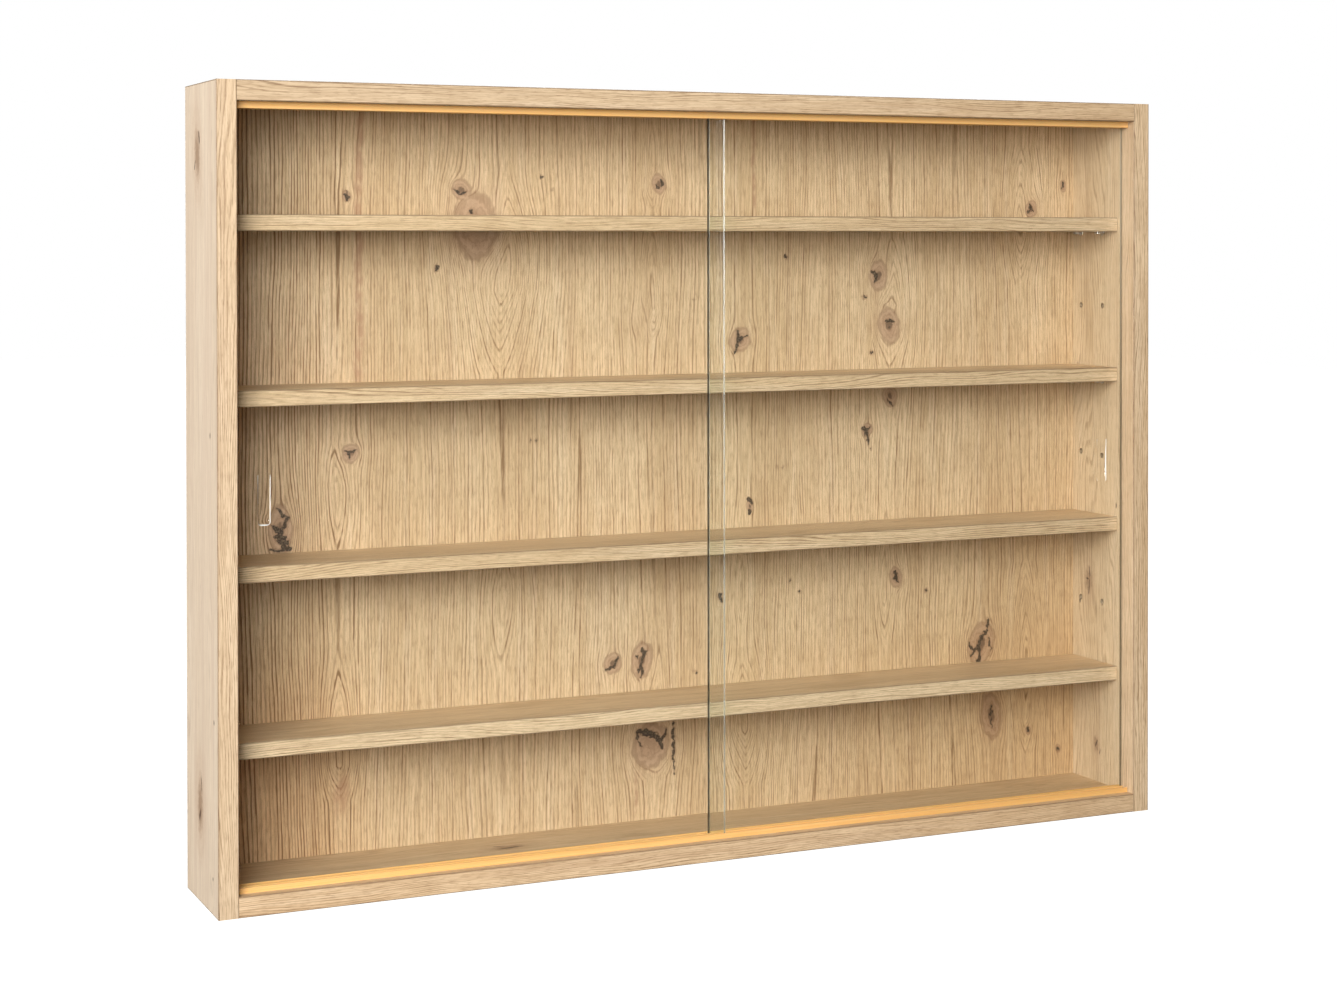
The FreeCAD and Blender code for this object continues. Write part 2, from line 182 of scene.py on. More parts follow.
RIGHT_KNOTS = [(-27.9, -370.0, 6.0, 13.0, -1, 0.0, False), (-29.6, -363.0, 1.0, 6.5, -1, 0.15, True), (-26.2, -368.5, 2.8, 1.1, -1, 0.0, True),
               (-28.6, -376.0, 0.9, 8.5, -1, -0.1, True), (-14.9, -389.3, 1.3, 3.0, -1, 0.0, True), (-48.3, -387.3, 1.2, 2.6, -1, 0.0, True),
               (-39.5, -511.3, 4.2, 8.0, -1, 0.1, False), (-39.8, -510.0, 1.6, 4.2, -1, -0.5, True), (-45.0, -516.8, 0.9, 3.2, -1, -0.3, True),
               (-69.1, -442.8, 1.0, 2.2, -1, 0.0, True), (-69.0, -300.5, 1.2, 3.4, -1, 0.0, True),
               (-50.0, -150.0, 6.0, 15.0, 1, 0.0, False), (-50.0, -150.0, 1.4, 7.0, 1, 0.1, True), (-30.0, -430.0, 5.0, 12.0, 1, 0.0, False)]


def oak(name, along, across, seed, tint=(1.0, 1.0, 1.0), contrast=1.0, spacing=3.0, face=None, knots=(), outer_sheen=None, borders=(),
        phase=None, extra=None, rough=0.47, fine=1.0, patch=1.0):
    """Printed oak decor. along and across are 0, 1, 2 for X, Y, Z; the third axis is the board's thickness.
    face = (axis, middle, half thickness): away from the two decor faces the board shows bare chipboard."""
    t = Tree(name)
    c = t.xyz()
    third = 3 - along - across
    v = c[along]
    u = t.add(t.mad(c[third], 0.83, seed * 37.1), c[across])
    # slow waves of the grain
    if phase is None:
        wave = t.noise(t.join(t.mul(u, 1 / 62), t.mul(v, 1 / 420)), 1.0, 2.0, 0.5)
        wave2 = t.noise(t.join(t.mul(u, 1 / 17), t.mul(v, 1 / 105)), 1.0, 1.0, 0.5)
        ph = t.add(t.mul(u, 1.0 / spacing), t.add(t.mul(wave, 22.0), t.mul(wave2, 2.4)))
    else:
        ph = phase(t)
    jitter = t.noise(t.join(t.mul(u, 1 / 4.2), t.mul(v, 1 / 34)), 1.0, 2.0, 0.55)
    ph = t.add(ph, t.mul(jitter, 0.60 if phase is None else 0.42))
    cell = t.math("FLOOR", ph)
    s = t.math("FRACT", ph)
    each = t.new("ShaderNodeTexWhiteNoise", noise_dimensions="1D")
    t.put(each.inputs["W"], t.add(cell, seed))
    # a thin dark line of large pores ends every ring
    late = t.mul(t.step(s, 0.40, 0.74), t.step(s, 0.98, 0.84))
    strength = t.mad(each.outputs[0], 0.80, 0.20)
    lengthwise = t.noise(t.join(t.mul(u, 1 / 2.2), t.mul(v, 1 / 46)), 1.0, 3.0, 0.65)
    line = t.mul(t.mul(late, strength), t.step(lengthwise, 0.34, 0.58, 0.30, 1.0))
    # open pores: short dark dashes along the grain
    pore_a = t.noise(t.join(t.mul(u, fine / 0.85), t.mul(v, fine / 9.5)), 1.0, 2.0, 0.62)
    pore = t.step(pore_a, 0.52, 0.66)
    pore_b = t.noise(t.join(t.mul(u, fine / 1.9), t.mul(v, fine / 34.0)), 1.0, 2.0, 0.60)
    streak = t.step(pore_b, 0.38, 0.64)
    # broad tone bands and clouds
    band = t.noise(t.join(t.mul(u, 1 / 46), t.mul(v, 1 / 620)), 1.0, 2.0, 0.55)
    cloud = t.noise(t.join(t.mul(u, 1 / 42), t.mul(v, 1 / 95)), 1.0, 3.0, 0.55)
    base = t.mix(t.step(band, 0.33, 0.68), LIGHT, MID)
    base = t.mix(t.mul(t.step(cloud, 0.52, 0.80), 0.42 * patch), base, DEEP)
    base = t.mix(t.mul(t.step(cloud, 0.46, 0.22), 0.35 * patch), base, (0.735, 0.560, 0.365))
    tone_a = t.noise(t.join(t.mul(u, 1 / 8.5), t.mul(v, 1 / 520)), 1.0, 3.0, 0.60)
    tone_b = t.noise(t.join(t.mad(u, 1 / 11.0, 31.0), t.mul(v, 1 / 260)), 1.0, 2.0, 0.55)
    base = t.mix(t.step(tone_a, 0.54, 0.74, 0.0, 0.40), base, (0.500, 0.335, 0.205))
    base = t.mix(t.step(tone_b, 0.53, 0.75, 0.0, 0.45), base, (0.775, 0.605, 0.410))
    base = t.mix(t.mul(streak, 0.30 * contrast), base, DEEP)
    if phase is not None:
        line = t.mul(line, t.step(c[across], -230.0, -345.0, 0.95, 2.1))
    base = t.mix(t.mul(line, 0.70 * contrast), base, LINE)
    base = t.mix(t.mul(pore, t.mad(line, 0.30 * contrast, 0.22 * contrast)), base, LINE)
    dark = None
    if extra is not None:
        base, dark = extra(t, base, u, v, s)
    # painted sheen: the outer face is painted paler and bluer, a painted reflection of the bright surroundings seen at
    # a grazing angle
    if outer_sheen is not None:
        side, sheen_tint = outer_sheen
        on = t.step(t.mul(t.sub(c[third], face[1]), side), 0.0, 0.2)
        soft = t.noise(t.join(t.mul(c[across], 1 / 7.5), t.mul(v, 1 / 300)), 1.0, 2.0, 0.55)
        pale = t.mix(0.45, base, (0.70, 0.555, 0.385))
        pale = t.mix(1.0, pale, sheen_tint, "MULTIPLY")
        pale = t.mix(t.step(soft, 0.36, 0.66, 0.0, 0.50), pale, (0.60, 0.46, 0.35))
        base = t.mix(on, base, pale)
    for cu, cv, ru, rv, side, lean, cracked in knots:
        dx, dy = t.sub(c[across], cu), t.sub(v, cv)
        wob = t.noise(t.join(t.mul(c[across], 1 / 2.4), t.mul(v, 1 / 4.0)), 1.0, 3.0, 0.62)
        du = t.mul(t.sub(dx, t.mul(dy, lean)), 1.0 / ru)
        dv = t.mul(dy, 1.0 / rv)
        r = t.add(t.math("SQRT", t.add(t.mul(du, du), t.mul(dv, dv))), t.mad(wob, 1.1, -0.55))
        on = t.step(t.mul(t.sub(c[third], face[1]), side), 0.0, 0.2) if face else 1.0
        if not cracked:
            halo = t.mul(t.step(r, 2.6, 0.6), on)
            ring = t.math("SINE", t.mul(r, 9.0))
            base = t.mix(t.mul(halo, t.mad(ring, 0.12, 0.30)), base, PINK)
        base = t.mix(t.mul(t.step(r, 0.95, 0.45), t.mul(on, 0.92 if cracked else 0.60)), base, (0.075, 0.042, 0.026) if cracked else KNOT)
    for axis, at in borders:
        near = t.math("ABSOLUTE", t.sub(c[axis], at))
        base = t.mix(t.step(near, 1.05, 0.35, 0.0, 0.62), base, (0.150, 0.088, 0.045))
    if face is not None:
        off = t.math("ABSOLUTE", t.sub(c[face[0]], face[1]))
        decor = t.step(off, face[2] - 0.35, face[2] - 0.25)
        chip_a = t.noise(t.join(c[0], c[1], c[2]), 0.42, 3.0, 0.65, dims="3D")
        chip_b = t.noise(t.join(t.mul(c[0], 0.5), c[1], t.mul(c[2], 0.6)), 0.95, 2.0, 0.6, dims="3D")
        raw = t.ramp(chip_a, [(0.30, (0.27, 0.175, 0.095)), (0.46, RAW), (0.60, (0.56, 0.415, 0.265)), (0.75, (0.66, 0.52, 0.36))])
        raw = t.mix(t.step(chip_b, 0.60, 0.70, 0, 0.6), raw, (0.20, 0.13, 0.08))
        base = t.mix(decor, raw, base)
    base = t.mix(1.0, base, tint, "MULTIPLY") if tint != (1.0, 1.0, 1.0) else base
    r = t.mad(pore_b, 0.16, rough - 0.05)
    height = t.sub(t.mul(pore_b, 0.6), t.mul(pore, 0.55))
    if dark is not None:
        r = t.mad(dark, 0.12, r)
    t.surface(base, r, t.bump(height, 0.10, 0.55), IOR=1.48)
    return t.mat


# ============================================================ back panel: its own mesh and decor fields
# Knots: centre x, z (mm, row frame), half width, half height, kind.
# kinds: eye = dark core, ring = pale ringed knot, star = cracked, faint = only swirling grain, dot = pin knot
KNOTS = [
    (-277.1, -38.9, 3.2, 4.0, "eye"), (-183.9, -33.6, 7.5, 8.0, "ring"), (-14.9, -27.4, 5.6, 7.6, "eye"),
    (341.1, -46.0, 5.5, 7.0, "ring"), (374.2, -25.6, 3.0, 5.0, "eye"), (-204.6, -94.5, 2.0, 2.6, "dot"),
    (-172.4, -62.0, 17.0, 24.0, "stain"), (100.8, -87.1, 1.4, 1.4, "dot"), (189.0, -103.0, 8.0, 12.0, "ring"),
    (199.0, -145.2, 9.5, 14.5, "ring"), (175.5, -121.5, 1.7, 1.7, "dot"), (181.5, -168.5, 1.5, 1.6, "dot"),
    (58.1, -155.4, 8.5, 9.5, "ring"), (-31.0, -137.6, 7.5, 14.0, "faint"), (-274.4, -236.2, 6.5, 7.0, "ring"),
    (200.0, -205.0, 6.5, 9.0, "eye"), (177.7, -233.7, 4.8, 5.4, "ring"), (67.3, -292.9, 3.0, 4.5, "dot"),
    (-329.5, -292.6, 9.0, 17.0, "ring"), (205.8, -359.9, 5.5, 8.5, "ring"), (235.3, -372.8, 1.6, 1.6, "dot"),
    (290.3, -422.1, 12.0, 17.0, "ring"), (-56.0, -413.9, 7.0, 8.0, "ring"), (-30.5, -413.4, 8.5, 14.0, "ring"),
    (38.8, -366.5, 4.5, 8.0, "faint"), (-22.6, -483.0, 14.5, 17.0, "stain"), (300.5, -485.4, 9.5, 19.0, "ring"),
    (338.3, -501.7, 2.6, 3.4, "eye"), (369.4, -520.3, 2.4, 3.6, "eye"), (-120.0, -330.0, 5.0, 22.0, "faint"),
    (120.0, -500.0, 6.0, 26.0, "faint"),
]
# Cracks: polylines in mm, half width at each end.
CRACKS = [
    ((-329.5, -292.6), [(-2.7, 16.7), (1, 11.8), (5.2, 9.4), (3, 2.7), (-.9, -.4)], .9, 1.1),
    ((-329.5, -292.6), [(-7, 3.7), (-.9, -.4), (-2.7, -4.6), (1, -10), (4.6, -15)], .8, 2.2),
    ((-329.5, -292.6), [(-8.8, -14.1), (-3.9, -15.6), (2.2, -15.4), (7, -13.8), (5.2, -10), (1, -3.4), (-.9, 0)], .7, 1.3),
    ((-56.0, -413.9), [(-7.5, -5.1), (-2.8, -4.1), (1.9, -2.1), (3.2, 2.5), (4.5, 4.5)], .6, 1.1),
    ((-30.5, -413.4), [(.5, 9.9), (1.5, 4.5), (-.8, -2.8), (-3.5, -10)], 1.1, .6),
    ((-30.5, -413.4), [(1.5, 4.5), (5.2, 8.5)], .9, .5),
    ((-30.5, -413.4), [(-.8, -2.8), (.5, -8.8), (-.1, -14)], 1.0, .5),
    ((-30.5, -413.4), [(-4.8, 3.9), (-3.5, 1.9)], .7, .5),
    ((-22.6, -480.7), [(-11.6, 9.6), (-4.9, 8.3), (1.7, 6.3), (7, 2.3), (10.4, -5)], 1.9, 1.9),
    ((-22.6, -480.7), [(13.7, 10.3), (12.4, 4.9), (9.7, 2.3)], .5, .9),
    ((-22.6, -480.7), [(-11.6, 9.6), (-12.0, 4.0), (-8.6, -3.0)], 1.0, .4),
    ((-2.9, -488.9), [(.5, 23), (.5, -8), (1.9, -19)], .9, .35),
    ((290.3, -422.1), [(7.4, 21.3), (5.9, 11), (2.2, 7.3), (-1.5, .6), (-4.4, -2.4)], .6, 1.4),
    ((290.3, -422.1), [(-11.9, .6), (-8.1, -5.3), (-1.5, -3.1), (-2.2, -17.2)], .9, 1.6),
    ((290.3, -422.1), [(-10.4, -9.8), (-5.9, -6)], .8, 1.0),
    ((290.3, -422.1), [(8.1, 5), (8.9, -1.6), (10.4, -6.8)], .5, .4),
    ((-183.9, -33.6), [(-6.2, .5), (-2.1, -3), (4.1, -1.2)], .7, .5),
    ((58.1, -155.4), [(-2.4, 8.6), (-1, .7), (6.1, 3.6)], 1.2, .9),
    ((58.1, -155.4), [(-1, .7), (-4.6, -11.4)], 1.3, .6),
    ((189.0, -103.0), [(-6.5, 3.5), (-2.2, .4), (-4.4, -6.6)], 1.2, .8),
    ((199.0, -145.2), [(-3.8, 3.2), (.8, 4.0), (4.9, 3.2)], 1.2, .6),
    ((199.0, -145.2), [(-.2, -1.6), (.6, -2.2)], 1.2, 1.0),
    ((-277.1, -38.9), [(-1.8, 1.2), (0, 0), (2.2, -1.4)], .8, .5), ((-277.1, -38.9), [(0, 3.4), (0, -3.2)], .5, .5),
    ((-14.9, -27.4), [(1.5, 2.8), (3.4, .4), (2.4, -2.0)], 1.0, .8), ((-14.9, -27.4), [(-2.2, -1.0), (-.4, -3.4)], .9, .6),
    ((341.1, -46.0), [(-1.5, 4.6), (-.6, .4), (2.4, -1.6)], .9, .6), ((341.1, -46.0), [(-.6, .4), (-3.2, -3.4)], .7, .4),
    ((-274.4, -236.2), [(-4.6, 1.8), (-.6, -.4), (4.8, 2.4)], .8, .5), ((-274.4, -236.2), [(-.6, -.4), (-1.2, -4.6)], .7, .4),
    ((200.0, -210.6), [(-3.0, 2.6), (.4, -.2), (2.6, -4.0)], 1.0, .6),
    ((177.7, -233.7), [(-2.8, 1.0), (.2, .2), (1.2, -2.6)], 1.0, .5), ((177.7, -233.7), [(.2, .2), (2.6, 2.6)], .6, .4),
    ((205.8, -359.9), [(-.8, 4.4), (.2, .2), (2.0, -4.6)], 1.2, .5), ((205.8, -359.9), [(.2, .2), (-2.4, -1.2)], .9, .5),
    ((300.5, -485.4), [(.4, 9.0), (-.6, 1.0), (.8, -11.0)], .6, .4), ((300.5, -485.4), [(-.6, 1.0), (2.6, 4.2)], .5, .3),
    ((-204.6, -94.5), [(-.6, 1.2), (.4, 0), (-.2, -1.6)], 1.5, 1.0), ((100.8, -87.1), [(0, .9), (.2, -.9)], 1.1, .8),
    ((175.5, -121.5), [(0, 1.0), (-.4, -.8)], 1.1, .8), ((181.5, -168.5), [(0, .9), (.3, -.9)], 1.0, .8),
    ((-126.5, -232.2), [(0, .6), (.2, -.6)], .9, .8), ((-121.4, -232.4), [(0, .6), (0, -.5)], .9, .7),
    ((92.3, -261.6), [(0, .5), (.1, -.5)], .7, .6), ((97.9, -261.8), [(0, .5), (0, -.5)], .7, .6),
    ((-117.6, -22.7), [(0, .6), (0, -.6)], .9, .7), ((-108.3, -33.0), [(-.8, .4), (1.0, -.2)], .9, .7),
    ((-176.5, -50.8), [(-.8, 1.0), (1.0, -.8)], 1.2, .8), ((16.3, -121.9), [(-.6, .2), (.8, -.2)], 1.0, .7),
    ((104.4, -356.4), [(0, .7), (.3, -.7)], .9, .7), ((113.3, -366.1), [(-.6, .6), (.6, -.8)], 1.1, .8),
    ((235.3, -372.8), [(0, .8), (.2, -.8)], 1.0, .7), ((17.4, -426.7), [(-.3, 1.6), (.3, -1.8)], 1.2, .8),
    ((39.5, -366.0), [(-2.6, 3.0), (.4, 1.4), (-.8, -1.4), (2.6, -4.4)], 1.0, .7),
    ((67.3, -288.8), [(-2.0, 2.4), (.6, .6), (1.6, -2.6)], 1.2, .8), ((67.3, -297.9), [(0, 1.2), (-.2, -1.2)], .8, .6),
    ((175.7, -233.6), [(-1.6, 2.0), (.2, .2), (3.0, -8.0), (5.4, -17.0)], 1.3, .3), ((338.3, -501.7), [(0, 1.6), (.4, -1.8)], .9, .6),
    ((369.4, -520.3), [(-.4, 1.8), (.2, -2.0)], .8, .5), ((374.2, -25.6), [(0, 3.0), (-.6, -2.6)], .8, .5),
]
# Lines about which the grain mirrors itself. Every second one is the heart of a figure.
TURNS = [-282.0, -222.0, -151.7, -86.0, -21.0, 22.0, 62.0, 128.0, 199.0, 262.0, 334.0]
# Figures: heart x, low end, high end (mm), rings, half width, kind. "up" opens upward from a point at the low end,
# "down" opens downward from a point at the high end, "loop" is closed at both ends.
FIGURES = [
    (-282.2, -503.0, -476.0, 5.0, 13.0, "up"), (-151.7, -178.0, -112.0, 9.0, 30.0, "up"),
    (-24.0, -153.0, -126.0, 4.5, 9.5, "up"), (-17.6, -49.0, -34.0, 3.0, 8.0, "up"), (-20.8, -510.0, -488.0, 4.0, 11.0, "up"),
    (67.1, -524.0, -478.0, 8.0, 24.0, "up"), (53.0, -420.0, -378.0, 5.0, 11.0, "up"), (197.0, -128.0, 58.0, 6.0, 17.0, "loop"),
    (200.0, -414.0, -376.0, 4.0, 9.0, "up"), (299.4, -488.8, 31.0, 4.0, 12.0, "loop"), (336.0, -432.0, -352.0, 8.0, 26.0, "down"),
    (332.0, -50.0, 8.0, 6.0, 20.0, "down"), (-151.0, -352.0, -318.0, 3.0, 14.0, "down"), (-282.0, -262.0, -230.0, 3.0, 14.0, "down"),
]


def grain_fields(co):
    """Ring phase, nearest knot ratio, crack distance (mm) and stain for points (n, 2) in mm."""
    u, v = co[:, 0].copy(), co[:, 1]
    n = len(u)
    w1 = np.array([mn.noise(Vector((a / 52.0, b / 230.0, 3.7))) for a, b in zip(u, v)])
    w2 = np.array([mn.noise(Vector((a / 14.0, b / 60.0, 9.1))) for a, b in zip(u, v)])
    u = u + 6.0 * w1 + 1.25 * w2
    ratio = np.full(n, 9.0)
    stain = np.zeros(n)
    for kx, kz, rx, rz, kind in KNOTS:
        du, dv = (u - kx), (co[:, 1] - kz)
        # a leaning outline
        lean = 0.12 * math.sin(kx)
        dx = co[:, 0] - kx - lean * dv
        r = np.sqrt((dx / rx) ** 2 + (dv / rz) ** 2) + 1e-6
        reach = np.exp(-(((co[:, 0] - kx) / (5.0 * rx)) ** 2) - (dv / (4.2 * rz)) ** 2)
        push = du / np.maximum(r, 0.9) ** 2 * reach
        u = u - push * (0.55 if kind == "faint" else 0.90)
        if kind in ("eye", "ring", "dot", "stain"):
            ratio = np.minimum(ratio, np.maximum(r, 0.52) if kind == "stain" else r)
        amount = {"eye": 0.55, "ring": 0.55, "dot": 0.35, "stain": 1.0, "faint": 0.30}[kind]
        stain = np.maximum(stain, amount * np.exp(-np.maximum(r - 0.7, 0) ** 2 / 0.9))
    grid = np.arange(-440.0, 440.25, 0.25)
    sign = np.ones_like(grid)
    for c in TURNS:
        sign *= -np.tanh((grid - c) / 1.3)
    pitch = 2.75 + 0.45 * np.sin(grid / 31.0 + 1.3 * np.sin(grid / 57.0)) + 0.25 * np.sin(grid / 9.7)
    for k, c in enumerate(TURNS):
        if k % 2 == 0:
            pitch += 0.9 * np.exp(-(((grid - c) / 16.0) ** 2))
    slope = sign / pitch
    base = np.concatenate([[0.0], np.cumsum((slope[1:] + slope[:-1]) / 2 * 0.25)])
    phase = np.interp(u, grid, base)

    def ramp(x):
        x = np.clip(x, 0.0, 1.0)
        return x * x * (3 - 2 * x)

    for c, lo, hi, rings, half, kind in FIGURES:
        home = min(TURNS[::2], key=lambda q: abs(q - c))
        across = np.exp(-(((u - home) / half) ** 2))
        vv = v + 3.0 * w2
        if kind == "up":
            along = np.clip((vv - lo) / (hi - lo), 0, 1) * (1 - ramp((vv - hi - 10) / 90.0))
        elif kind == "down":
            along = np.clip((hi - vv) / (hi - lo), 0, 1) * (1 - ramp((lo - 6 - vv) / 60.0))
        else:
            along = np.clip(1 - np.abs(vv - lo) / hi, 0, 1)
        phase = phase + rings * across * along
    phase = phase + v / 260.0
    # cracks
    crack = np.full(n, 9.0)
    for (cx, cz), pts, w0, w1_ in CRACKS:
        pts = np.array(pts) + np.array([cx, cz])
        near = (np.abs(co[:, 0] - cx) < 40) & (np.abs(co[:, 1] - cz) < 40)
        p = co[near]
        if not len(p):
            continue
        warp = np.array([[mn.noise(Vector((a / 2.6, b / 3.4, 21.0))), mn.noise(Vector((a / 3.4, b / 2.6, 47.0)))] for a, b in p])
        fine_ = np.array([[mn.noise(Vector((a / 1.1, b / 1.3, 5.0))), mn.noise(Vector((a / 1.3, b / 1.1, 15.0)))] for a, b in p])
        swell = np.array([mn.noise(Vector((a / 3.0, b / 3.0, 77.0))) for a, b in p])
        p = p + 1.7 * warp + 0.55 * fine_
        best = np.full(len(p), 9.0)
        lens = np.concatenate([[0.0], np.cumsum(np.hypot(*(pts[1:] - pts[:-1]).T))])
        for i in range(len(pts) - 1):
            a, b = pts[i], pts[i + 1]
            ab = b - a
            tt = np.clip(((p - a) @ ab) / (ab @ ab), 0, 1)
            d = np.hypot(*(p - (a + tt[:, None] * ab)).T)
            where = (lens[i] + tt * (lens[i + 1] - lens[i])) / lens[-1]
            width = (w0 + (w1_ - w0) * where) * (0.65 + 0.5 * np.sin(math.pi * np.clip(where, 0, 1)) ** 0.5)
            best = np.minimum(best, d - width * (1.0 + 1.1 * swell[:]))
        crack[near] = np.minimum(crack[near], best)
    return phase, ratio, crack, stain


def make_back_panel():
    """A 3 mm board with a finely divided front face that carries the decor's fields."""
    lo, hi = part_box("back_panel")
    x0, x1, z0, z1 = lo.x / MM, hi.x / MM, lo.z / MM, hi.z / MM
    y0, y1 = lo.y / MM, hi.y / MM
    step = 2.2
    nx, nz = int(round((x1 - x0) / step)), int(round((z1 - z0) / step))
    xs, zs = np.linspace(x0, x1, nx + 1), np.linspace(z0, z1, nz + 1)
    bm = bmesh.new()
    grid = [[bm.verts.new((x, y0, z)) for x in xs] for z in zs]
    for j in range(nz):
        for i in range(nx):
            bm.faces.new((grid[j][i], grid[j][i + 1], grid[j + 1][i + 1], grid[j + 1][i]))
    front = list(bm.faces)
    # finer where there are cracks and knots
    spots = [(k[0], k[1], k[2] * 1.25 + 2.5, k[3] * 1.25 + 2.5) for k in KNOTS if k[4] != "faint"]
    spots += [(-2.5, -488.9, 5.0, 26.0), (-329.5, -292.6, 12.0, 21.0), (290.3, -420.0, 15.0, 25.0), (-22.6, -478.0, 17.0, 18.0)]
    for f in front:
        f.tag = False
    pick = set()
    for f in front:
        c = f.calc_center_median()
        for sx, sz, rx, rz in spots:
            if ((c.x - sx) / rx) ** 2 + ((c.z - sz) / rz) ** 2 < 1.0:
                pick.update(f.edges)
                break
    bmesh.ops.subdivide_edges(bm, edges=list(pick), cuts=3, use_grid_fill=True)
    # the board behind it, with the two pockets of the hanger plates notched into its upright edges
    bm.verts.ensure_lookup_table()
    edge = [e for e in bm.edges if e.is_boundary]
    made = bmesh.ops.extrude_edge_only(bm, edges=edge)["geom"]
    rim = [g for g in made if isinstance(g, bmesh.types.BMVert)]
    for vert in rim:
        vert.co.y = y1
    rear_edges = [e for e in bm.edges if e.is_boundary]
    bmesh.ops.contextual_create(bm, geom=rear_edges)
    bmesh.ops.recalc_face_normals(bm, faces=bm.faces)
    mesh = bpy.data.meshes.new("back_board")
    for vert in bm.verts:
        vert.co *= MM
    bm.to_mesh(mesh)
    bm.free()
    obj = bpy.data.objects.new("back_board", mesh)
    bpy.context.scene.collection.objects.link(obj)
    # cutters: the same keyhole outline as in the boards, through the margin that the sides hide
    cut = bmesh.new()
    lo_p, hi_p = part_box("left_hanger_plate")
    kx = (lo_p.x + hi_p.x) / 2 / MM
    for side in (1, -1):
        outline = []
        for k in range(33):
            a = math.pi + math.pi * k / 32
            outline.append((side * (kx + 5.6 * math.cos(a)), 5.6 * math.sin(a)))
        for k in range(33):
            a = math.pi * k / 32
            outline.append((side * (kx + 5.6 * math.cos(a)), 13.0 + 5.6 * math.sin(a)))
        f = cut.faces.new([cut.verts.new((x * MM, (y0 - 2) * MM, z * MM)) for x, z in outline])
        ex = bmesh.ops.extrude_face_region(cut, geom=[f])["geom"]
        for g in ex:
            if isinstance(g, bmesh.types.BMVert):
                g.co.y = (y1 + 2) * MM
    bmesh.ops.recalc_face_normals(cut, faces=cut.faces)
    cm = bpy.data.meshes.new("cutter")
    cut.to_mesh(cm)
    cut.free()
    co_ = bpy.data.objects.new("cutter", cm)
    bpy.context.scene.collection.objects.link(co_)
    mod = obj.modifiers.new("cut", "BOOLEAN")
    mod.operation, mod.object, mod.solver = "DIFFERENCE", co_, "EXACT"
    deps = bpy.context.evaluated_depsgraph_get()
    done = bpy.data.meshes.new_from_object(obj.evaluated_get(deps))
    obj.modifiers.clear()
    obj.data = done
    bpy.data.objects.remove(co_)
    n = len(done.vertices)
    co = np.zeros(n * 3, np.float32)
    done.vertices.foreach_get("co", co)
    co = co.reshape(-1, 3) / MM
    phase, ratio, crack, stain = grain_fields(co[:, [0, 2]].astype(float))
    for key, values in (("grain_phase", phase), ("knot_ratio", ratio), ("crack_mm", crack), ("stain", stain)):
        a = done.attributes.new(key, "FLOAT", "POINT")
        a.data.foreach_set("value", values.astype(np.float32))
    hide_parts("back_panel")
    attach(obj, "cabinet")
    return obj


